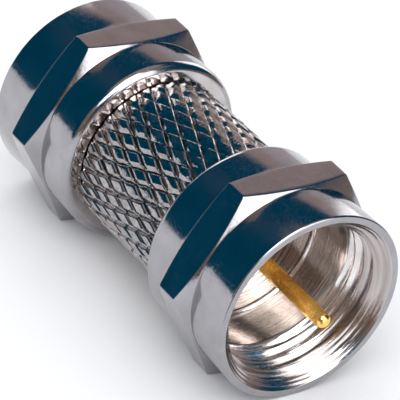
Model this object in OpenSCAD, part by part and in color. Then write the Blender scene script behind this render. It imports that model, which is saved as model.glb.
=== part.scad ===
// F male-to-male coupler: a diamond-knurled barrel with a captive coupling nut at
// each end and one gold-plated pin from mouth to mouth. It lies on a flat of each
// hexagon, with its axis along X. The origin is under its middle, on the surface.

/* [Coupling nuts] */
// Hexagon, across flats
hex_af = 11.0; // [10.6:0.05:12]
// Round mouth collar, diameter at the rim
mouth_d = 10.94; // [10.7:0.02:11]
// Round collars, diameter beside the hexagon
collar_d = 10.8; // [10.4:0.05:10.9]
// Length of the mouth collar
mouth_len = 2.7; // [2:0.05:4]
// Length of the hexagon, with its corner chamfers
hex_len = 2.0; // [1.5:0.05:3]
// Length of the round back collar
back_len = 2.4; // [1.8:0.05:4]
// Angle of the corner chamfers, from the end faces
chamfer_angle = 20; // [12:1:30]
// Radius of the back collar's outer edge
back_round = 0.45; // [0.2:0.05:0.8]
// Radius of the mouth's outer edge
rim_round = 0.1; // [0.05:0.01:0.2]

/* [Female thread] */
// Minor diameter of the 3/8-32 thread, bored through to the seat
thread_minor_d = 8.68; // [8.6:0.01:8.8]
// Width of the mouth's flat rim, outside the lead-in
rim_width = 0.4; // [0.3:0.02:0.6]
// Angle of the lead-in countersink, from the axis
lead_in_angle = 45; // [30:1:60]
// Thickness of the lip that the flange holds
lip_len = 0.6; // [0.4:0.05:0.9]

/* [Ferrules] */
// Flange thickness
flange_len = 0.5; // [0.35:0.05:0.8]
// Edge break of the flange
flange_edge = 0.08; // [0.03:0.01:0.15]
// Diameter of the neck that the nut turns on
neck_d = 6.8; // [6.4:0.05:7.2]
// Diameter of the shank in the barrel
shank_d = 6.0; // [5.2:0.05:6.2]
// Length of the shank in the barrel
shank_len = 2.6; // [1.5:0.05:3.4]

/* [Barrel] */
// Length of the barrel
barrel_len = 7.85; // [7:0.05:14]
// Diameter over the knurl
barrel_d = 9.1; // [8.8:0.05:9.6]
// Depth of the knurl grooves
knurl_depth = 0.2; // [0.1:0.01:0.35]
// Grooves of each hand round the barrel
knurl_count = 32; // [24:1:40]
// Rows of half diamonds along the knurl
knurl_rows = 7; // [4:1:14]
// Share of the pitch that a groove takes
groove_share = 0.3; // [0.15:0.01:0.6]
// Length of the chamfer at each end of the barrel
barrel_chamfer = 0.3; // [0.1:0.05:0.6]
// Depth of the end faces' edge under the groove floors
end_drop = 0.05; // [0.02:0.01:0.2]

/* [Insulators and pin] */
// Diameter of the insulator in the ferrule
insulator_d = 3.5; // [2.6:0.05:4.4]
// How far the insulator's face lies behind the flange's
insulator_inset = 0.1; // [0:0.05:0.5]
// Diameter of the pin
pin_d = 0.9; // [0.8:0.01:1]
// How far the pin stands out of each mouth
pin_reach = 1.4; // [0.5:0.05:3]
// Length of the pin's taper, with its round end
pin_taper_len = 1.1; // [0.5:0.05:2]
// Diameter of the pin at the end of its taper
pin_taper_d = 0.82; // [0.7:0.01:0.9]
// Radius of the pin's round end
pin_round = 0.2; // [0.1:0.01:0.3]
// Diameter of the pin's shoulder, flush with the insulator's face
pin_shoulder_d = 1.3; // [1.25:0.01:1.45]
// Diameter of the pin's root, held between the insulators
pin_root_d = 1.7; // [1.6:0.05:2.4]
// Thickness of the insulator's end wall, which the root bears on
end_wall = 0.4; // [0.3:0.05:1.5]

/* [Clearances] */
// Radial clearance between nut and neck
turn_gap = 0.08; // [0.04:0.01:0.1]
// Axial clearance of the nut's lip, on each side
float_gap = 0.1; // [0.05:0.01:0.2]
// Radial clearance of the flange in the thread's bore
flange_gap = 0.06; // [0.04:0.01:0.1]
// Radial clearance of pieces pressed together
press_gap = 0.01; // [0.005:0.005:0.03]

/* [Hidden] */
$fn = 96;

nickel = "#b9b6b2";
worn_nickel = "#8f8b88";
gold = "#d79a2b";
plastic = "#ecebe4";

half_barrel = barrel_len / 2;
nut_len = mouth_len + hex_len + back_len;
nut_x = half_barrel + float_gap;
mouth_x = nut_x + nut_len;
neck_len = lip_len + 2 * float_gap;
flange_x = half_barrel + neck_len;
face_x = flange_x + flange_len;
axis_z = hex_af / 2;

hex_corner_r = hex_af / 2 / cos(30);
chamfer_run = (hex_corner_r - collar_d / 2) * tan(chamfer_angle);
lip_d = neck_d + 2 * turn_gap;
flange_d = thread_minor_d - 2 * flange_gap;
lead_in_d = mouth_d - 2 * rim_width;
lead_in_len = (lead_in_d - thread_minor_d) / 2 / tan(lead_in_angle);
shank_bore_d = shank_d + 2 * press_gap;
insulator_bore_d = insulator_d + 2 * press_gap;
shoulder_bore_d = pin_shoulder_d + 2 * press_gap;
root_bore_d = pin_root_d + 2 * press_gap;
head_len = half_barrel - shank_len;
nose_x = face_x - insulator_inset;
root_x = nose_x - end_wall;
tip_x = mouth_x + pin_reach;
// How far a cut runs past the face that it opens
cut = 1;

// The knurl: two sets of straight-sided grooves, one of each hand, that cross
knurl_len = barrel_len - 2 * barrel_chamfer;
row_len = knurl_len / knurl_rows;
pitch_angle = 360 / knurl_count;
land_r = barrel_d / 2;
floor_r = land_r - knurl_depth;
end_r = floor_r - end_drop;

// Puts a piece that is turned about +Z, with its base at 0, along +X from x
module along_x(x) {
    translate([x, 0, axis_z]) rotate([0, 90, 0]) children();
}

// A nut, its back at 0 and its mouth at nut_len
module nut_outline() {
    rotate_extrude()
        polygon(concat(
            [[0, 0]],
            [for (a = [-90:15:0])
                [collar_d / 2 - back_round + back_round * cos(a), back_round + back_round * sin(a)]],
            [[collar_d / 2, back_len + hex_len]],
            [for (a = [0:30:90])
                [mouth_d / 2 - rim_round + rim_round * cos(a), nut_len - rim_round + rim_round * sin(a)]],
            [[0, nut_len]]));
    translate([0, 0, back_len])
        intersection() {
            rotate([0, 0, 30]) cylinder(r = hex_corner_r, h = hex_len, $fn = 6);
            rotate_extrude()
                polygon([[0, 0], [collar_d / 2, 0], [hex_corner_r, chamfer_run],
                         [hex_corner_r, hex_len - chamfer_run], [collar_d / 2, hex_len], [0, hex_len]]);
        }
}

module coupling_nut() {
    color(nickel)
        difference() {
            nut_outline();
            translate([0, 0, -cut]) cylinder(d = lip_d, h = nut_len);
            translate([0, 0, lip_len]) cylinder(d = thread_minor_d, h = nut_len);
            translate([0, 0, nut_len - lead_in_len])
                cylinder(d1 = thread_minor_d, d2 = lead_in_d, h = lead_in_len);
        }
}

// A ferrule, its neck's back at 0 and its shank below
module ferrule() {
    color(worn_nickel)
        difference() {
            rotate_extrude()
                polygon([[0, -shank_len], [shank_d / 2, -shank_len], [shank_d / 2, 0], [neck_d / 2, 0],
                         [neck_d / 2, neck_len], [flange_d / 2 - flange_edge, neck_len],
                         [flange_d / 2, neck_len + flange_edge],
                         [flange_d / 2, neck_len + flange_len - flange_edge],
                         [flange_d / 2 - flange_edge, neck_len + flange_len], [0, neck_len + flange_len]]);
            translate([0, 0, -shank_len - cut])
                cylinder(d = insulator_bore_d, h = shank_len + neck_len + flange_len + 2 * cut);
        }
}

// An insulator, its wide end at 0 on the barrel's middle
module insulator() {
    color(plastic)
        difference() {
            union() {
                cylinder(d = shank_d, h = head_len);
                cylinder(d = insulator_d, h = nose_x);
            }
            translate([0, 0, -cut]) cylinder(d = shoulder_bore_d, h = nose_x + 2 * cut);
            translate([0, 0, -cut]) cylinder(d = root_bore_d, h = root_x + cut);
        }
}

// One half of the pin, its root at 0 on the barrel's middle
module half_pin() {
    rotate_extrude()
        polygon(concat(
            [[0, 0], [pin_root_d / 2, 0], [pin_root_d / 2, root_x], [pin_shoulder_d / 2, root_x],
             [pin_shoulder_d / 2, nose_x], [pin_d / 2, nose_x], [pin_d / 2, tip_x - pin_taper_len]],
            [for (a = [0:15:90])
                [pin_taper_d / 2 - pin_round + pin_round * cos(a), tip_x - pin_round + pin_round * sin(a)]],
            [[0, tip_x]]));
}

module centre_pin() {
    color(gold) {
        along_x(0) half_pin();
        other_end() along_x(0) half_pin();
    }
}

// A point of the skin: radius, angle in pitches, height in rows
function skin(r, turn, row) =
    [r * cos(turn * pitch_angle), r * sin(turn * pitch_angle), barrel_chamfer + row * row_len];

// A point of an end face, under or over a crossing
function rim(turn, z) = [end_r * cos(turn * pitch_angle), end_r * sin(turn * pitch_angle), z];

// Place in the list of the first of a crossing's five points
function at(row, k) = 5 * (row * knurl_count + k % knurl_count);

function quad(a, b, c, d) = [[a, b, c], [a, c, d]];

// Two hands of grooves cross at every row, half a pitch further round on odd rows.
// Each crossing has five points: its floor, the corners of the lands to its right
// and left, and those of the lands above and below. On the first and last rows the
// point outside the knurl lies on the end face instead.
module knurled_bar() {
    right = 1;
    left = 2;
    above = 3;
    below = 4;
    last = knurl_rows;
    count = knurl_count - 1;
    inset = groove_share / 2;
    points = [for (row = [0:last], k = [0:count])
        let (turn = k + (row % 2) / 2)
        each [skin(floor_r, turn, row), skin(land_r, turn + inset, row), skin(land_r, turn - inset, row),
              row < last ? skin(land_r, turn, row + 2 * inset) : rim(turn, barrel_len),
              row > 0 ? skin(land_r, turn, row - 2 * inset) : rim(turn, 0)]];
    faces = [for (row = [0:last], k = [0:count])
        let (c = at(row, k), d = at(row, k + 1),
             up = at(row + 1, k + row % 2), down = at(row - 1, k + row % 2),
             l = c + right, r = d + left, t = up + below, b = down + above)
        each concat(
            row == 0 ? [[l, t, r], [c + below, c, l], [d + below, r, d]] : [],
            row == 0 ? quad(c + below, l, r, d + below) : [],
            row == last ? [[l, r, b], [c, c + above, l], [r, d + above, d]] : [],
            row == last ? quad(l, c + above, d + above, r) : [],
            row > 0 && row < last ? [[b, l, t], [b, t, r]] : [],
            row < last ? concat(quad(c, up, t, l), quad(up, d, r, t)) : [],
            row > 0 ? concat(quad(d, down, b, r), quad(down, c, l, b)) : [])];
    polyhedron(points, concat(faces,
        [[for (k = [0:count]) at(0, k) + below]],
        [[for (k = [count:-1:0]) at(last, k) + above]]));
}

module knurled_body() {
    color(nickel)
        along_x(-half_barrel)
            difference() {
                knurled_bar();
                translate([0, 0, -cut]) cylinder(d = shank_bore_d, h = barrel_len + 2 * cut);
            }
}

// Turns a piece of the front end round to the rear end
module other_end() {
    rotate([0, 0, 180]) children();
}

knurled_body();
along_x(nut_x) coupling_nut();  // front_coupling_nut
other_end() along_x(nut_x) coupling_nut();  // rear_coupling_nut
along_x(half_barrel) ferrule();  // front_ferrule
other_end() along_x(half_barrel) ferrule();  // rear_ferrule
along_x(0) insulator();  // front_insulator
other_end() along_x(0) insulator();  // rear_insulator
centre_pin();
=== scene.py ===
import math
import random

import bmesh
import bpy
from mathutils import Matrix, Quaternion, Vector


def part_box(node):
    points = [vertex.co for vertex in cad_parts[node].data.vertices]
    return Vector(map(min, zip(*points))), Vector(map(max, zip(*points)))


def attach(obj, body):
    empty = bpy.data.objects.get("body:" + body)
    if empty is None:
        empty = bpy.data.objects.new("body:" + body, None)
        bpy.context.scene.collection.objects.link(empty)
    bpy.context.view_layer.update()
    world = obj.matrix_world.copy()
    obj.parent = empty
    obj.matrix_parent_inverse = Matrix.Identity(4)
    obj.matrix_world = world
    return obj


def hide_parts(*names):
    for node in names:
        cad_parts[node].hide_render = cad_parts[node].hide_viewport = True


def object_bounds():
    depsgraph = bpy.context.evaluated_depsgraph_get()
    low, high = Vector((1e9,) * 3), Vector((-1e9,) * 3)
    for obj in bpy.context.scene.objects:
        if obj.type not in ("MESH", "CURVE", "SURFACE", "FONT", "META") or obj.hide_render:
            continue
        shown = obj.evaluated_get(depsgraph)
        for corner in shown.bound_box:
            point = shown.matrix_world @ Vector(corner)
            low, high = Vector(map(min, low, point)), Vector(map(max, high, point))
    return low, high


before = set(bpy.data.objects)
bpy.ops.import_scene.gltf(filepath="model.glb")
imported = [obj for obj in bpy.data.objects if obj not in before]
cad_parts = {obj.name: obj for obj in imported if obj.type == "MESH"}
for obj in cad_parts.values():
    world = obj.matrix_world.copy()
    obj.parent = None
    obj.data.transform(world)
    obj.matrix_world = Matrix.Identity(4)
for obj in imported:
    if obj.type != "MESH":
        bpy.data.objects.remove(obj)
cadLow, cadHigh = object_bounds()
axisHeight = (cadLow.z + cadHigh.z) / 2
mm = 0.001
print("frame loaded:", sorted(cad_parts))


easing = {
    "mostOfASide": 0.45,      # a rounded corner takes less than half of each side
    "samePlace": 1e-7,        # mm, points closer than this are one point
    "smoothAngle": math.radians(28),   # a sharper edge stays an edge
}


def easedLine(points, radius, steps=3):
    # rounds the inner corners of an open line of (x, r) points. Each corner becomes steps + 1 points.
    eased = [points[0]]
    for before, corner, after in zip(points, points[1:], points[2:]):
        inward = (before[0] - corner[0], before[1] - corner[1])
        outward = (after[0] - corner[0], after[1] - corner[1])
        reachIn = max(math.hypot(*inward), easing["samePlace"])
        reachOut = max(math.hypot(*outward), easing["samePlace"])
        cut = min(radius, easing["mostOfASide"] * reachIn, easing["mostOfASide"] * reachOut)
        start = [corner[k] + inward[k] / reachIn * cut for k in (0, 1)]
        end = [corner[k] + outward[k] / reachOut * cut for k in (0, 1)]
        for step in range(steps + 1):
            t = step / steps
            shares = ((1 - t) ** 2, 2 * t * (1 - t), t * t)
            eased.append(tuple(shares[0] * start[k] + shares[1] * corner[k] + shares[2] * end[k]
                               for k in (0, 1)))
    eased.append(points[-1])
    return eased


def arc(centreX, centreR, radius, fromDeg, toDeg, steps):
    # angle 0 points outwards, 90 along +x
    angles = [math.radians(fromDeg + (toDeg - fromDeg) * k / steps) for k in range(steps + 1)]
    return [(centreX + radius * math.sin(a), centreR + radius * math.cos(a)) for a in angles]


def evenSteps(low, high, count):
    return [low + (high - low) * k / count for k in range(count + 1)]


def clamp(value):
    # to a share from 0 to 1
    return max(0, min(1, value))


def meshPiece(name, vertices, faces, materials, faceMaterials, body, nodes):
    # vertices are in millimetres: x along the coupler's axis, then across and up from the axis
    data = bpy.data.meshes.new(name)
    data.from_pydata([(x * mm, y * mm, axisHeight + z * mm) for x, y, z in vertices], [], faces)
    for material in materials:
        data.materials.append(material)
    if faceMaterials:
        data.polygons.foreach_set("material_index", faceMaterials)
    data.validate()
    solid = bmesh.new()
    solid.from_mesh(data)
    bmesh.ops.recalc_face_normals(solid, faces=solid.faces)
    solid.to_mesh(data)
    solid.free()
    piece = bpy.data.objects.new(name, data)
    bpy.context.scene.collection.objects.link(piece)
    bpy.context.view_layer.objects.active = piece
    piece.select_set(True)
    bpy.ops.object.shade_smooth_by_angle(angle=easing["smoothAngle"])
    piece.select_set(False)
    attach(piece, body)
    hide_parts(*nodes)
    print("piece:", name, len(data.vertices), "points")


def turned(columns, angles, side, threadRows=(0, 0, 0)):
    # columns: for each angle a closed line of (x, r). Repeated points on a line become one vertex.
    # threadRows: first row, row count and rows a turn of a helical stretch, which shifts at the seam
    # gives the vertices, the faces, and the row that each face starts from
    near = easing["samePlace"]
    vertices, index = [], []
    for line, angle in zip(columns, angles):
        places = []
        for k, (x, r) in enumerate(line):
            if k and math.dist(line[k], line[k - 1]) < near:
                places.append(places[-1])
                continue
            if k and math.dist(line[k], line[0]) < near:
                places.append(places[0])
                continue
            vertices.append((side * x, -side * r * math.cos(angle), -r * math.sin(angle)))
            places.append(len(vertices) - 1)
        index.append(places)
    first, count, aTurn = threadRows
    seam = list(index[0])
    for row in range(first, first + count):
        seam[row] = index[0][min(row + aTurn, first + count - 1)]
    faces, rows = [], []
    for here, there in zip(index, index[1:] + [seam]):
        for row in range(len(here)):
            below = (row + 1) % len(here)
            ring = []
            for v in (here[row], there[row], there[below], here[below]):
                if v not in ring:
                    ring.append(v)
            if len(ring) > 2:
                faces.append(ring)
                rows.append(row)
    return vertices, faces, rows


def newMaterial(name):
    material = bpy.data.materials.new(name)
    material.use_nodes = True
    return material, material.node_tree.nodes, material.node_tree.links


mottleRange = (0.3, 0.7)      # most of a noise's values lie between these
hazeRange = (0.42, 0.85)      # the hazy patches are fewer than the clear ones


def colourRamp(nodes, links, source, lowColour, highColour):
    ramp = nodes.new("ShaderNodeValToRGB")
    for element, position, colour in zip(ramp.color_ramp.elements, mottleRange, (lowColour, highColour)):
        element.position = position
        element.color = (*colour, 1)
    links.new(source, ramp.inputs["Fac"])
    return ramp.outputs["Color"]


def stretchedNoise(nodes, links, scale, stretch, detail=3.0):
    # noise in the piece's own metres. A small stretch along an axis draws it out along that axis.
    coordinates = nodes.new("ShaderNodeTexCoord")
    mapping = nodes.new("ShaderNodeMapping")
    mapping.inputs["Scale"].default_value = stretch
    noise = nodes.new("ShaderNodeTexNoise")
    noise.inputs["Scale"].default_value = scale
    noise.inputs["Detail"].default_value = detail
    links.new(coordinates.outputs["Object"], mapping.inputs["Vector"])
    links.new(mapping.outputs["Vector"], noise.inputs["Vector"])
    return noise.outputs["Fac"]


def paintedRingGlints(nodes, links, scale):
    # noise by the distance from the coupler's axis: light and dark rings painted into the colour, painted
    # glints of the rings that a lathe leaves on a face
    coordinates = nodes.new("ShaderNodeTexCoord")
    mapping = nodes.new("ShaderNodeMapping")
    mapping.inputs["Location"].default_value = (0, 0, -axisHeight)
    mapping.inputs["Scale"].default_value = (0, 1, 1)
    radius = nodes.new("ShaderNodeVectorMath")
    radius.operation = "LENGTH"
    noise = nodes.new("ShaderNodeTexNoise")
    noise.noise_dimensions = "1D"
    noise.inputs["Scale"].default_value = scale
    noise.inputs["Detail"].default_value = 1.0
    links.new(coordinates.outputs["Object"], mapping.inputs["Vector"])
    links.new(mapping.outputs["Vector"], radius.inputs[0])
    links.new(radius.outputs["Value"], noise.inputs["W"])
    return noise.outputs["Fac"]


def bumpNode(nodes, links, height, depth):
    # depth in millimetres
    bump = nodes.new("ShaderNodeBump")
    bump.inputs["Distance"].default_value = depth * mm
    links.new(height, bump.inputs["Height"])
    return bump


def platedMetal(name, look):
    # plated brass: mottled tint, haze, turning lines round the axis and soft orange-peel. A look with a
    # ring scale gets light and dark rings in its tint instead, painted glints of lathe rings.
    material, nodes, links = newMaterial(name)
    shader = nodes["Principled BSDF"]
    shader.inputs["Metallic"].default_value = 1.0
    if "glintRingScale" in look:
        # painted glints: the tint runs in light and dark rings by the distance from the axis
        toneNoise = paintedRingGlints(nodes, links, look["glintRingScale"])
    else:
        stretch = (1, look["mottleReach"], look["mottleReach"])
        toneNoise = stretchedNoise(nodes, links, look["mottleScale"], stretch)
    links.new(colourRamp(nodes, links, toneNoise, look["dull"], look["bright"]),
              shader.inputs["Base Color"])
    lineStretch = (1, look["lineReach"], look["lineReach"])
    lines = stretchedNoise(nodes, links, look["lineScale"], lineStretch, detail=4.0)
    rough = nodes.new("ShaderNodeMapRange")
    for socket, value in zip(("From Min", "From Max", "To Min", "To Max"), hazeRange + look["roughness"]):
        rough.inputs[socket].default_value = value
    haze = stretchedNoise(nodes, links, look["hazeScale"], (1, 1, 1), detail=4.0)
    links.new(haze, rough.inputs["Value"])
    links.new(rough.outputs["Result"], shader.inputs["Roughness"])
    lineBump = bumpNode(nodes, links, lines, look["lineDepth"])
    peel = stretchedNoise(nodes, links, look["peelScale"], (1, 1, 1), detail=2.0)
    peelBump = bumpNode(nodes, links, peel, look["peelDepth"])
    links.new(lineBump.outputs["Normal"], peelBump.inputs["Normal"])
    links.new(peelBump.outputs["Normal"], shader.inputs["Normal"])
    return material


# scales are noise cells a metre, depths are in millimetres
nickelLook = {
    "bright": (0.405, 0.395, 0.412),
    "dull": (0.345, 0.337, 0.350),
    "mottleScale": 900,
    "mottleReach": 1.0,       # below 1 the mottle is drawn out round the axis
    "roughness": (0.08, 0.30),
    "hazeScale": 9000,
    "lineScale": 9000,        # a turning line every 0.11 mm
    "lineReach": 0.02,
    "lineDepth": 0.0006,
    "peelScale": 2200,
    "peelDepth": 0.0030,
}
# the bore's nickel: base colour painted far lighter than the outer nickel, a painted highlight for the
# light that falls into the bore
boreHighlightLook = dict(nickelLook, bright=(0.93, 0.905, 0.90), dull=(0.74, 0.69, 0.67),
                roughness=(0.12, 0.26), lineScale=12000, lineReach=0.012, lineDepth=0.012)
# the thread's nickel: darker, browner tones than the bore's, painted shade for the shaded turns of the
# thread
threadShadeLook = dict(boreHighlightLook, bright=(0.62, 0.585, 0.58), dull=(0.33, 0.28, 0.26), mottleScale=6500,
                  mottleReach=0.02, lineScale=15000, lineReach=0.02, lineDepth=0.014, peelScale=14000,
                  peelDepth=0.004)
# the flange's nickel: its tint runs in light and dark rings round the axis, painted glints of the lathe's
# rings
flangeGlintLook = dict(nickelLook, bright=(0.50, 0.43, 0.385), dull=(0.22, 0.178, 0.150),
                  roughness=(0.12, 0.24), glintRingScale=5200)
facedLook = dict(nickelLook, bright=(0.62, 0.585, 0.575), dull=(0.48, 0.44, 0.43),
                 roughness=(0.10, 0.26))
knurlLook = dict(nickelLook, bright=(0.50, 0.47, 0.46), dull=(0.28, 0.25, 0.24), mottleScale=5000,
                 roughness=(0.06, 0.22), peelScale=9000, peelDepth=0.012)
goldLook = dict(nickelLook, bright=(1.0, 0.70, 0.24), dull=(0.95, 0.54, 0.09), mottleScale=3000,
                roughness=(0.14, 0.34), lineDepth=0.002, peelScale=7000, peelDepth=0.008)


def mouldedPlastic(name, look):
    material, nodes, links = newMaterial(name)
    shader = nodes["Principled BSDF"]
    toneNoise = stretchedNoise(nodes, links, look["mottleScale"], (1, 1, 1))
    links.new(colourRamp(nodes, links, toneNoise, look["dull"], look["bright"]),
              shader.inputs["Base Color"])
    shader.inputs["Roughness"].default_value = look["roughness"]
    grain = bumpNode(nodes, links, toneNoise, look["grainDepth"])
    links.new(grain.outputs["Normal"], shader.inputs["Normal"])
    return material


plasticLook = {
    "bright": (0.86, 0.85, 0.81),
    "dull": (0.78, 0.77, 0.72),
    "mottleScale": 2500,
    "roughness": 0.45,
    "grainDepth": 0.004,
}

nickel = platedMetal("platedNickel", nickelLook)
boreHighlightNickel = platedMetal("boreNickelPaintedHighlight", boreHighlightLook)
threadShadeNickel = platedMetal("threadShadeNickel", threadShadeLook)
flangeGlintNickel = platedMetal("flangeGlintNickel", flangeGlintLook)
knurlNickel = platedMetal("knurledNickel", knurlLook)
facedNickel = platedMetal("facedNickel", facedLook)
gold = platedMetal("goldPlate", goldLook)
plastic = mouldedPlastic("insulatorPlastic", plasticLook)
print("materials ready")


nutLow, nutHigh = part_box("front_coupling_nut")
nut = {
    "back": nutLow.x / mm,
    "mouth": nutHigh.x / mm,
    "halfFlat": (nutHigh.z - nutLow.z) / 2 / mm,
    "mouthLength": 2.7,
    "hexLength": 2.0,
    "collarRadius": 5.4,
    "mouthRadius": 5.47,
    "chamferSlope": math.tan(math.radians(20)),
    "backRound": 0.45,
    "rimRound": 0.1,
    "rimWidth": 0.4,
    "leadInSlope": math.tan(math.radians(45)),
    "cornerRound": 0.1,
    "edgeSoftness": 0.035,
    "taperLength": 0.4,       # the mouth's collar narrows by taperDrop over this, next to the hexagon
    "taperDrop": 0.01,
    "edgeLength": 0.3,        # kept straight beside an edge
    "faceStep": 4.0,          # a ring on the back face
    "lipLength": 0.6,
    "lipRadius": 3.48,
    "seatRadius": 4.31,       # close round the ferrule's flange
    "seatEnd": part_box("front_ferrule")[1].x / mm + 0.02,   # just past the flange's face
    "boreRadius": 4.43,
    "minorRadius": 4.40,
    "majorRadius": 4.88,
    "pitch": 25.4 / 32,
    "crestShare": 0.09,       # flat parts of a turn, as shares of the pitch
    "rootShare": 0.06,
    "cornerBlur": 0.016,
    "threadLength": 3.3,
    "threadStart": 0.6,       # where the helix begins, in turns
    "runOut": 0.7,
    "roughLength": 1.9,       # the first turns, with fine lines left by the tool
    "roughFade": 0.5,
    "rimFade": 0.12,
    "toolMark": 0.012,
    "toolMarks": 5,           # lines to a turn of the thread
    "stepsAFlat": 46,
    "cornerCrowding": 1.6,
    "boreRows": 12,           # rows of the seat's end and the bore, just before the thread's
    "facedDepth": 0.01,
}
hexTurn = math.radians(60)


def hexRadius(turn):
    # distance from the axis to the hexagon with rounded corners, flats at 30, 90, 150 degrees
    fromFlat = (turn - hexTurn / 2) % hexTurn
    fromFlat = min(fromFlat, hexTurn - fromFlat)
    fromCorner = hexTurn / 2 - fromFlat
    soft = nut["cornerRound"]
    centre = (nut["halfFlat"] - soft) / math.cos(hexTurn / 2)
    tangent = math.atan2(soft * math.sin(hexTurn / 2), centre + soft * math.cos(hexTurn / 2))
    if fromCorner > tangent:
        return nut["halfFlat"] / math.cos(fromFlat)
    return centre * math.cos(fromCorner) + math.sqrt(soft ** 2 - (centre * math.sin(fromCorner)) ** 2)


def threadDepth(phase):
    # share of the full depth: 0 on the crest, 1 at the root, with eased corners
    crest, root = nut["crestShare"], nut["rootShare"]
    flank = (1 - crest - root) / 2
    samples = evenSteps(phase - nut["cornerBlur"], phase + nut["cornerBlur"], 4)
    return sum(clamp(min((u % 1 - crest) / flank, (1 - u % 1) / flank)) for u in samples) / len(samples)


# the points across one turn, closest at its corners
threadPhases = (0.0, 0.03, 0.06, 0.09, 0.115, 0.15, 0.20, 0.25, 0.30, 0.35, 0.40, 0.45, 0.50, 0.54, 0.58,
                0.62, 0.67, 0.72, 0.77, 0.82, 0.87, 0.92, 0.96)


def threadLine(turn):
    # from the bore to the mouth. Turns that lie outside are pressed flat onto the two ends.
    start, end = nut["mouth"] - nut["threadLength"], nut["mouth"]
    depth = nut["majorRadius"] - nut["minorRadius"]
    turns = math.ceil(nut["threadLength"] / nut["pitch"]) + 2
    line = []
    for k in range(turns):
        for phase in threadPhases:
            x = start + nut["pitch"] * (k - 2 + phase + nut["threadStart"] + turn / math.tau)
            x = max(start, min(end, x))
            share = threadDepth(phase) * clamp((x - start) / nut["runOut"])
            leadIn = nut["mouthRadius"] - nut["rimWidth"] - (end - x) * nut["leadInSlope"]
            rough = min((x - end + nut["roughLength"]) / nut["roughFade"], (end - x) / nut["rimFade"])
            mark = nut["toolMark"] * clamp(rough) * math.cos(math.tau * nut["toolMarks"] * phase)
            line.append((x, max(nut["minorRadius"] + depth * share, leadIn) + mark))
    return line


def nutAngles():
    # even steps on each flat, closer at the corners
    half = nut["stepsAFlat"] // 2
    fromMiddle = [30 * (1 - (1 - k / half) ** nut["cornerCrowding"]) for k in range(half + 1)]
    around = [30 + side * step for side in (-1, 1) for step in fromMiddle]
    aFlat = sorted(set(round(a, 9) for a in around))[:-1]
    return [math.radians(a + 60 * k) for k in range(6) for a in aFlat]


def nutOutside(turn):
    # from the mouth's inner edge over the collars and the hexagon to the lip and the bore
    hexFront = nut["mouth"] - nut["mouthLength"]
    hexBack = hexFront - nut["hexLength"]
    across = hexRadius(turn)
    run = (across - nut["collarRadius"]) * nut["chamferSlope"]
    rim, soft, straight = nut["rimRound"], nut["edgeSoftness"], nut["edgeLength"]
    collar = nut["collarRadius"]
    seat, lipEnd = nut["seatRadius"], nut["back"] + nut["lipLength"]
    line = [(nut["mouth"], nut["mouthRadius"] - nut["rimWidth"])]
    line += arc(nut["mouth"] - rim, nut["mouthRadius"] - rim, rim, 90, 0, 5)
    body = [(hexFront + nut["taperLength"], collar + nut["taperDrop"]), (hexFront, collar),
            (hexFront - run, across), (hexFront - run - straight, across),
            (hexBack + run + straight, across), (hexBack + run, across),
            (hexBack, collar), (hexBack - straight, collar)]
    line += easedLine(body, soft)
    line += arc(nut["back"] + nut["backRound"], collar - nut["backRound"], nut["backRound"], 0, -90, 8)
    inside = [(nut["back"], nut["faceStep"]), (nut["back"], nut["lipRadius"]),
              (lipEnd, nut["lipRadius"]), (lipEnd, seat), (nut["seatEnd"], seat),
              (nut["seatEnd"] + nut["boreRadius"] - seat, nut["boreRadius"]),
              (nut["mouth"] - nut["threadLength"] - straight, nut["boreRadius"])]
    line += easedLine(inside, soft)
    return line


def couplingNut(name, side, body, node):
    angles = nutAngles()
    outside = [nutOutside(a) for a in angles]
    columns = [line + threadLine(a) for line, a in zip(outside, angles)]
    first = len(outside[0])
    count = len(columns[0]) - first
    vertices, faces, rows = turned(columns, angles, side, (first, count, len(threadPhases)))
    nutMaterials = [nickel, boreHighlightNickel, threadShadeNickel, facedNickel]
    plated, inBore, onThread, faced = range(len(nutMaterials))
    choices = []
    for face, row in zip(faces, rows):
        along = sum(abs(vertices[v][0]) for v in face) / len(face)
        if along < nut["back"] + nut["facedDepth"]:
            choices.append(faced)
        elif row < first - nut["boreRows"]:
            choices.append(plated)
        else:
            # the first turns take the nickel with painted shade, and the bore behind them the nickel with
            # a painted highlight
            choices.append(inBore if along < nut["mouth"] - nut["roughLength"] else onThread)
    meshPiece(name, vertices, faces, nutMaterials, choices, body, [node])


couplingNut("threaded_front_nut", 1, "front_nut", "front_coupling_nut")
couplingNut("threaded_rear_nut", -1, "rear_nut", "rear_coupling_nut")


barrelLow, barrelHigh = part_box("knurled_body")
barrel = {
    "half": barrelHigh.x / mm,
    "landRadius": (barrelHigh.z - barrelLow.z) / 2 / mm,
    "grooveDepth": 0.2,
    "grooves": 32,            # of each hand
    "rows": 7,                # half diamonds along the knurl
    "leftShare": 0.30,        # a cut's share of its pitch
    "slitShare": 0.12,
    "rightShare": 0.10,
    "rollShare": 0.17,        # the rounded edge below each shallow cut
    "rollPower": 2.2,
    "sideRollShare": 0.28,    # and beside each steep cut, wider near the ends
    "sideRollPower": 1.8,
    "endRollShare": 0.52,
    "endRollPower": 1.45,
    "wideReach": 2.6,         # how far from each end the wide edge starts,
    "wideFade": 1.2,          # and the length over which it comes in
    "leanStart": 0.66,        # where each diamond starts to lean towards the next cut
    "leanDrop": 0.19,
    "crownDrop": 0.008,
    "cutBlur": 0.02,          # softens a cut's corners, in pitches
    "endRoll": 0.02,          # how far the barrel falls off at its ends
    "endReach": 1.7,
    "chamfer": 0.15,
    "chamferSteps": (0.4, 0.8, 1.0),
    "endDrop": 0.03,
    "boreRadius": 3.01,
    "boreEdge": 0.05,
    "landTilt": 0.03,         # no two diamonds lie quite alike
    "seed": 4,
}
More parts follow.
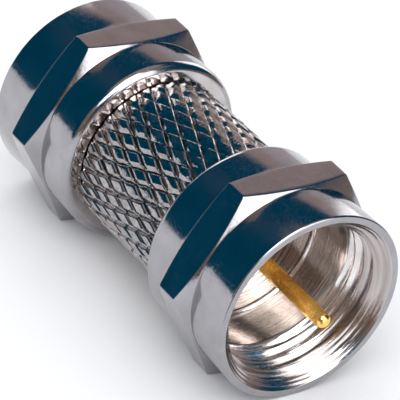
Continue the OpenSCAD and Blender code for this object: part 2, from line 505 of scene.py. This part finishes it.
# the points across one diamond, closest at its two cuts
grooveSteps = (0.0, 0.025, 0.05, 0.08, 0.115, 0.17, 0.25, 0.34, 0.5)
cellSteps = grooveSteps + tuple(1 - s for s in reversed(grooveSteps[1:-1]))


def cutShape(across, share):
    # a V cut with soft edges, by the distance from its middle in pitches
    samples = evenSteps(across - barrel["cutBlur"], across + barrel["cutBlur"], 4)
    return sum(max(0, 1 - abs(offset) * 2 / share) for offset in samples) / len(samples)


def knurlFall(p, q, ending):
    # how far the surface drops below the diamonds' tops. p and q count the steep and the shallow cuts,
    # and ending is 1 near the barrel's ends.
    away = p - round(p)
    wide = barrel["sideRollShare"] + (barrel["endRollShare"] - barrel["sideRollShare"]) * ending
    power = barrel["sideRollPower"] + (barrel["endRollPower"] - barrel["sideRollPower"]) * ending
    sideRoll = max(0, 1 - (p % 1) / wide) ** power
    cut = (cutShape(away, barrel["leftShare"]) + cutShape(away, barrel["slitShare"])) / 2
    left = max(sideRoll, cut)
    roll = max(0, 1 - (q % 1) / barrel["rollShare"]) ** barrel["rollPower"]
    right = max(roll, cutShape(q - round(q), barrel["rightShare"]))
    lean = max(0, (q % 1 - barrel["leanStart"]) / (1 - barrel["leanStart"]))
    crown = (2 * (p % 1) - 1) ** 2
    slope = barrel["leanDrop"] * lean + barrel["crownDrop"] * crown
    return max(slope, slope + (barrel["grooveDepth"] - slope) * max(left, right))


def knurledBarrel():
    steps = len(cellSteps)
    around = 2 * barrel["grooves"] * steps
    top = barrel["rows"] * steps
    knurlStart = -barrel["half"] + barrel["chamfer"]
    rowLength = (2 * barrel["half"] - 2 * barrel["chamfer"]) / barrel["rows"]
    dice = random.Random(barrel["seed"])
    tilts = {}

    def place(i, j):
        return i // steps + cellSteps[i % steps], j // steps + cellSteps[j % steps]

    def radiusAt(p, q):
        fromMiddle = abs(knurlStart + rowLength * (p + q))
        ending = clamp((fromMiddle - barrel["half"] + barrel["wideReach"]) / barrel["wideFade"])
        fall = knurlFall(p, q, ending)
        left, right = math.floor(p), math.floor(q)
        cell = ((left - right) % (2 * barrel["grooves"]), left + right)
        if cell not in tilts:
            tilts[cell] = [dice.uniform(-1, 1) for _ in range(3)]
        lift, tiltP, tiltQ = tilts[cell]
        wobble = (lift - 1) / 2 + tiltP * (p % 1 - 0.5) + tiltQ * (q % 1 - 0.5)
        past = max(0, (fromMiddle - barrel["half"] + barrel["endReach"]) / barrel["endReach"])
        land = barrel["landRadius"]
        return min(land, land - fall + barrel["landTilt"] * wobble) - barrel["endRoll"] * past ** 2

    vertices, known = [], {}

    def addVertex(x, r, p, q):
        turn = (p - q) / 2 * math.tau / barrel["grooves"]
        vertices.append((x, -r * math.cos(turn), r * math.sin(turn)))
        return len(vertices) - 1

    def node(i, j):
        key = (i + j, (i - j) % around)
        if key not in known:
            p, q = place(i, j)
            known[key] = addVertex(knurlStart + rowLength * (p + q), radiusAt(p, q), p, q)
        return known[key]

    faces = []
    for level in range(-1, top):
        for i in range(barrel["grooves"] * steps):
            base = i + (level + 1) // 2
            j = level - base
            corners = [(base, j), (base + 1, j), (base + 1, j + 1), (base, j + 1)]
            faces.append([node(a, b) for a, b in corners if 0 <= a + b <= top])

    def closeEnd(level, x, sign):
        # the rings of the chamfer, the end face and the bore's edge
        endRadius = barrel["landRadius"] - barrel["grooveDepth"] - barrel["endDrop"]
        bore, edge = barrel["boreRadius"], barrel["boreEdge"]
        start = level // 2 + level % 2
        keys = [(i, level - i) for i in range(start, start + barrel["grooves"] * steps)]
        places = [place(i, j) for i, j in keys]
        rings = [[node(i, j) for i, j in keys]]
        for share in barrel["chamferSteps"]:
            ring = []
            for p, q in places:
                rim = radiusAt(p, q)
                here = knurlStart + rowLength * (p + q)
                ring.append(addVertex(here + (x - here) * share, rim + (endRadius - rim) * share, p, q))
            rings.append(ring)
        for r, along in ((bore + edge, x), (bore, x - edge * sign)):
            rings.append([addVertex(along, r, p, q) for p, q in places])
        return rings

    rearRings = closeEnd(0, -barrel["half"], -1)
    frontRings = closeEnd(top, barrel["half"], 1)
    for rings, turnedOver in ((rearRings, True), (frontRings, False)):
        for near, far in zip(rings, rings[1:]):
            for k in range(len(near)):
                after = (k + 1) % len(near)
                face = [near[k], near[after], far[after], far[k]]
                faces.append(face[::-1] if turnedOver else face)
    # the bore joins the two ends, whose rings start half a pitch apart on an odd row count
    shift = steps // 2 if barrel["rows"] % 2 else 0
    rear, front = rearRings[-1], frontRings[-1]
    count = len(rear)
    for k in range(count):
        a, b = (k + shift) % count, (k + 1 + shift) % count
        faces.append([rear[a], rear[b], front[(k + 1) % count], front[k]])
    meshPiece("knurled_barrel", vertices, faces, [knurlNickel], None, "barrel",
              ["knurled_body"])


knurledBarrel()


def lathed(line, count, side):
    # the same line at every angle
    angles = [math.tau * k / count for k in range(count)]
    vertices, faces, _ = turned([line] * count, angles, side)
    return vertices, faces


ferruleLow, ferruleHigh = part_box("front_ferrule")
ferrule = {
    "face": ferruleHigh.x / mm,
    "shankEnd": ferruleLow.x / mm,
    "flangeRadius": (ferruleHigh.y - ferruleLow.y) / 2 / mm,
    "flangeLength": 0.5,
    "neckRadius": 3.4,
    "shankRadius": 3.0,
    "boreRadius": 1.76,
    "boreEdge": 0.04,
    "edge": 0.08,
    "softness": 0.02,
    "steps": 192,
    "markStart": 1.95,
    "markEnd": 4.1,
    "markPitch": 0.16,
    "markDepth": 0.010,
}


def turnedFace():
    # the flange's face, with the fine rings left by the cutting tool, four points to a ring
    first, last = ferrule["markStart"], ferrule["markEnd"]
    steps = round((last - first) / ferrule["markPitch"] * 4)
    deep = [ferrule["markDepth"] * (1 - math.cos(math.pi * k / 2)) / 2 for k in range(steps + 1)]
    return [(ferrule["face"] - d, r) for d, r in zip(deep, evenSteps(first, last, steps))]


def ferrulePiece(name, side, node):
    face, edge, boreEdge = ferrule["face"], ferrule["edge"], ferrule["boreEdge"]
    flange, neck, shank = ferrule["flangeRadius"], ferrule["neckRadius"], ferrule["shankRadius"]
    flangeBack, neckStart = face - ferrule["flangeLength"], barrel["half"]
    back = [(face - edge, flange), (flangeBack + edge, flange), (flangeBack, flange - edge),
            (flangeBack, neck), (neckStart, neck), (neckStart, shank), (ferrule["shankEnd"], shank),
            (ferrule["shankEnd"], ferrule["boreRadius"]), (face - boreEdge, ferrule["boreRadius"])]
    line = turnedFace() + easedLine(back, ferrule["softness"], 2)
    line.append((face, ferrule["boreRadius"] + boreEdge))
    vertices, faces = lathed(line, ferrule["steps"], side)
    meshPiece(name, vertices, faces, [flangeGlintNickel], None, "barrel", [node])


ferrulePiece("turned_front_ferrule", 1, "front_ferrule")
ferrulePiece("turned_rear_ferrule", -1, "rear_ferrule")

insulatorLow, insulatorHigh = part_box("front_insulator")
insulator = {
    "nose": insulatorHigh.x / mm,
    "headRadius": (insulatorHigh.y - insulatorLow.y) / 2 / mm,
    "headLength": ferrule["shankEnd"],
    "noseRadius": 1.75,
    "endWall": 0.4,
    "shoulderBore": 0.66,
    "rootBore": 0.86,
    "softness": 0.04,
    "seam": (0.1, 0.2),       # where its outline closes and opens, on the head
    "steps": 128,
}


def insulatorPiece(name, side, node):
    nose, head, headEnd = insulator["nose"], insulator["headRadius"], insulator["headLength"]
    shoulder, rootBore = insulator["shoulderBore"], insulator["rootBore"]
    root = nose - insulator["endWall"]
    seamEnd, seamStart = insulator["seam"]
    line = [(seamStart, head), (headEnd, head), (headEnd, insulator["noseRadius"]),
            (nose, insulator["noseRadius"]), (nose, shoulder), (root, shoulder),
            (root, rootBore), (0.0, rootBore), (0.0, head), (seamEnd, head)]
    vertices, faces = lathed(easedLine(line, insulator["softness"]), insulator["steps"], side)
    meshPiece(name, vertices, faces, [plastic], None, "barrel", [node])


insulatorPiece("moulded_front_insulator", 1, "front_insulator")
insulatorPiece("moulded_rear_insulator", -1, "rear_insulator")

pinLow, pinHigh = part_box("centre_pin")
pin = {
    "tip": pinHigh.x / mm,
    "radius": 0.45,
    "taperLength": 1.1,
    "taperRadius": 0.41,
    "tipRound": 0.3,
    "tipFlat": 0.06,
    "softness": 0.03,
    "steps": 96,
    "shoulderRadius": 0.65,
    "rootRadius": (pinHigh.y - pinLow.y) / 2 / mm,
}


def pinPiece():
    # one half from the middle to the tip, then its mirror image
    nose, tip, rounding = insulator["nose"], pin["tip"], pin["tipRound"]
    root = nose - insulator["endWall"]
    stem = [(0.0, pin["rootRadius"]), (root, pin["rootRadius"]), (root, pin["shoulderRadius"]),
            (nose, pin["shoulderRadius"]), (nose, pin["radius"]),
            (tip - pin["taperLength"], pin["radius"]), (tip - rounding, pin["taperRadius"])]
    half = easedLine(stem, pin["softness"])
    half += arc(tip - rounding, pin["taperRadius"] - rounding, rounding, 0, 90, 8)[1:]
    half += [(tip, pin["tipFlat"]), (tip, 0.0)]
    line = [(-x, r) for x, r in reversed(half[1:])] + half
    rows, count = len(line) - 2, pin["steps"]
    vertices, faces = [(-tip, 0, 0), (tip, 0, 0)], []
    for k in range(count):
        angle = math.tau * k / count
        vertices += [(x, -r * math.cos(angle), r * math.sin(angle)) for x, r in line[1:-1]]
        here, after = 2 + k * rows, 2 + (k + 1) % count * rows
        faces.append([0, after, here])
        for row in range(rows - 1):
            faces.append([here + row, after + row, after + row + 1, here + row + 1])
        faces.append([here + rows - 1, after + rows - 1, 1])
    meshPiece("gold_pin", vertices, faces, [gold], None, "barrel", ["centre_pin"])


pinPiece()


# metal mirrors the screens, and all else sees a plain pale room. Lengths are in metres.
studio = {
    "floorSize": 3.0,
    "floorDrop": 0.02 * mm,
    "floorColour": (0.90, 0.905, 0.925),
    "floorShade": 0.985,
    "floorScale": 60,
    "floorRoughness": 0.9,
    "worldColour": (0.93, 0.94, 0.96),
    "worldLight": 0.80,       # what lights the piece, where the background shows at 1
    "lamps": {                # place, side and power of each
        "keyLamp": ((0.12, -0.20, 0.36), 0.40, 0.88),
        "fillLamp": ((-0.25, 0.10, 0.38), 0.45, 0.40),
    },
    "lampTarget": (0, 0, 0.005),
    "domeRadius": 0.45,
    "step": 2,                # degrees between a screen's columns
    "nearRadius": 0.056,
    "nearHeight": 0.045,
    "nearAzimuths": (-40, 98),
    "nearRows": 12,
    "lowLift": 0.1 * mm,
    "lowSource": (0.011, 0.003, 0.004),    # the turn of thread that the low screen is laid out for
    "lowAzimuths": (-40, -9),
    "lowHeights": (-19, -4),
    "night": (0.0, 0.078, 0.154),
    # azimuth from +X towards +Y, height, soft edge, all in degrees, then the colour
    "patches": [
        (98, 172, -20, 34, 9, (0.58, 0.52, 0.55)),
        (98, 165, 24, 36, 8, (0.52, 0.40, 0.385)),
        (153, 174, 6, 30, 6, (2.6, 2.45, 2.3)),
        (98, 127, 2, 34, 5, (2.6, 2.6, 2.6)),
        (186, 212, 40, 54, 20, (0.03, 0.10, 0.17)),
        (33, 98, -20, 9, 5, (0.30, 0.24, 0.23)),
        (-180, 180, 60, 95, 12, (0.52, 0.45, 0.41)),
        (-80, -38, -20, 38, 8, (0.34, 0.26, 0.21)),
        (-50, 16, 34, 78, 8, (9.0, 9.0, 9.2)),
        (16, 60, 40, 70, 8, (0.34, 0.28, 0.26)),
        (-44, -5, -30, 10, 5, (0.26, 0.18, 0.135)),
        (-5, 29, -20, 50, 4, (3.0, 3.0, 3.0)),
        (-9, 29, -30, 3, 3, (3.0, 3.0, 3.0)),
    ],
}


def paleFloor():
    material, nodes, links = newMaterial("paleFloor")
    shader = nodes["Principled BSDF"]
    grain = stretchedNoise(nodes, links, studio["floorScale"], (1, 1, 1))
    colour = studio["floorColour"]
    shade = [c * studio["floorShade"] for c in colour]
    links.new(colourRamp(nodes, links, grain, shade, colour), shader.inputs["Base Color"])
    shader.inputs["Roughness"].default_value = studio["floorRoughness"]
    half = studio["floorSize"] / 2
    corners = [(x * half, y * half, 0) for x, y in ((-1, -1), (1, -1), (1, 1), (-1, 1))]
    data = bpy.data.meshes.new("floor")
    data.from_pydata(corners, [], [(0, 1, 2, 3)])
    data.materials.append(material)
    floor = bpy.data.objects.new("floor", data)
    floor.location.z = cadLow.z - studio["floorDrop"]
    bpy.context.scene.collection.objects.link(floor)


def softBand(value, low, high, soft):
    # 1 between low and high, and 0 outside, with an edge as wide as soft
    share = min(clamp((value - low) / soft + 0.5), clamp((high - value) / soft + 0.5))
    return share * share * (3 - 2 * share)


def studioColour(azimuth, height):
    colour = list(studio["night"])
    for fromAzimuth, toAzimuth, low, high, soft, paint in studio["patches"]:
        middle = (fromAzimuth + toAzimuth) / 2
        turn = (azimuth - middle + 180) % 360 - 180
        reach = (toAzimuth - fromAzimuth) / 2
        share = softBand(turn, -reach, reach, soft) * softBand(height, low, high, soft)
        colour = [c + (p - c) * share for c, p in zip(colour, paint)]
    return colour


def paintedScreen(name, azimuths, heights, place):
    # a glowing screen that only metal sees, coloured point by point
    points = [place(a, h) for a in azimuths for h in heights]
    colours = [studioColour(a, h) for a in azimuths for h in heights]
    tall = len(heights)
    faces = [(a * tall + h, (a + 1) * tall + h, (a + 1) * tall + h + 1, a * tall + h + 1)
             for a in range(len(azimuths) - 1) for h in range(tall - 1)]
    data = bpy.data.meshes.new(name)
    data.from_pydata(points, [], faces)
    glow = data.color_attributes.new("glow", "FLOAT_COLOR", "POINT")
    glow.data.foreach_set("color", [c for colour in colours for c in (*colour, 1)])
    material, nodes, links = newMaterial(name)
    nodes.remove(nodes["Principled BSDF"])
    paint = nodes.new("ShaderNodeVertexColor")
    paint.layer_name = "glow"
    light = nodes.new("ShaderNodeEmission")
    links.new(paint.outputs["Color"], light.inputs["Color"])
    links.new(light.outputs["Emission"], nodes["Material Output"].inputs["Surface"])
    data.materials.append(material)
    screen = bpy.data.objects.new(name, data)
    for ray in ("camera", "diffuse", "shadow", "transmission", "volume_scatter"):
        setattr(screen, "visible_" + ray, False)
    bpy.context.scene.collection.objects.link(screen)


def studioScreens():
    # a dome round the room, a low screen lying before the front mouth and an upright one behind it
    reach, near, top = studio["domeRadius"], studio["nearRadius"], studio["nearHeight"]
    step = studio["step"]

    def onDome(azimuth, height):
        a, h = math.radians(azimuth), math.radians(height)
        return (reach * math.cos(h) * math.cos(a), reach * math.cos(h) * math.sin(a),
                axisHeight + reach * math.sin(h))

    def onScreen(azimuth, height):
        a = math.radians(azimuth)
        z = max(0, min(top, axisHeight + near * math.tan(math.radians(height))))
        return (near * math.cos(a), near * math.sin(a), z)

    def onFloor(azimuth, height):
        a = math.radians(azimuth)
        fromX, fromY, fromZ = studio["lowSource"]
        away = fromZ / math.tan(math.radians(-height))
        return (fromX + away * math.cos(a), fromY + away * math.sin(a), studio["lowLift"])

    highest = math.degrees(math.atan((top - axisHeight) / near))
    lowest = math.degrees(math.atan(-axisHeight / near))
    nearHeights = evenSteps(lowest, highest, studio["nearRows"])
    paintedScreen("studioDome", range(0, 361, step), range(0, 91, step), onDome)
    paintedScreen("lowScreen", range(*studio["lowAzimuths"], step), range(*studio["lowHeights"]), onFloor)
    paintedScreen("nearScreen", range(*studio["nearAzimuths"], step), nearHeights, onScreen)


def softLamp(name, location, side, power):
    # lights the piece, but metal doesn't mirror it
    lamp = bpy.data.lights.new(name, "AREA")
    lamp.shape = "RECTANGLE"
    lamp.size, lamp.size_y = side, side
    lamp.energy = power
    holder = bpy.data.objects.new(name, lamp)
    holder.location = location
    holder.rotation_mode = "QUATERNION"
    aim = Vector(studio["lampTarget"]) - Vector(location)
    holder.rotation_quaternion = aim.to_track_quat("-Z", "Y")
    holder.visible_glossy = False
    holder.visible_camera = False
    bpy.context.scene.collection.objects.link(holder)


def paleWorld():
    # full strength where it is seen, and less where it lights
    world = bpy.data.worlds.new("paleWorld")
    bpy.context.scene.world = world
    world.use_nodes = True
    nodes, links = world.node_tree.nodes, world.node_tree.links
    background = nodes["Background"]
    background.inputs["Color"].default_value = (*studio["worldColour"], 1)
    path = nodes.new("ShaderNodeLightPath")
    seen = path.outputs["Is Camera Ray"]
    for ray in ("Is Glossy Ray", "Is Transmission Ray"):
        either = nodes.new("ShaderNodeMath")
        either.operation = "MAXIMUM"
        links.new(seen, either.inputs[0])
        links.new(path.outputs[ray], either.inputs[1])
        seen = either.outputs["Value"]
    strength = nodes.new("ShaderNodeMapRange")
    strength.inputs["To Min"].default_value = studio["worldLight"]
    strength.inputs["To Max"].default_value = 1.0
    links.new(seen, strength.inputs["Value"])
    links.new(strength.outputs["Result"], background.inputs["Strength"])


paleFloor()
paleWorld()
studioScreens()
for lampName, (lampPlace, lampSide, lampPower) in studio["lamps"].items():
    softLamp(lampName, lampPlace, lampSide, lampPower)
print("studio ready")

view = {
    "azimuth": 51.05,         # degrees from the -Y side towards the front mouth
    "elevation": 32.4,
    "roll": 10.85,
    "distance": 0.1545,
    "lens": 264.8,
    "sensor": 36,
    "nearest": 0.001,
    "aim": (0.00086, 0.0, 0.00552),
}


def makeCamera():
    data = bpy.data.cameras.new("camera")
    data.lens = view["lens"]
    data.sensor_width = view["sensor"]
    data.clip_start = view["nearest"]
    camera = bpy.data.objects.new("camera", data)
    a, e = math.radians(view["azimuth"]), math.radians(view["elevation"])
    back = Vector((math.sin(a) * math.cos(e), -math.cos(a) * math.cos(e), math.sin(e)))
    camera.location = Vector(view["aim"]) + back * view["distance"]
    camera.rotation_mode = "QUATERNION"
    level = (-back).to_track_quat("-Z", "Y")
    camera.rotation_quaternion = level @ Quaternion((0, 0, 1), math.radians(view["roll"]))
    bpy.context.scene.collection.objects.link(camera)
    bpy.context.scene.camera = camera


makeCamera()
bpy.context.scene.view_settings.view_transform = "Standard"
print("camera ready")
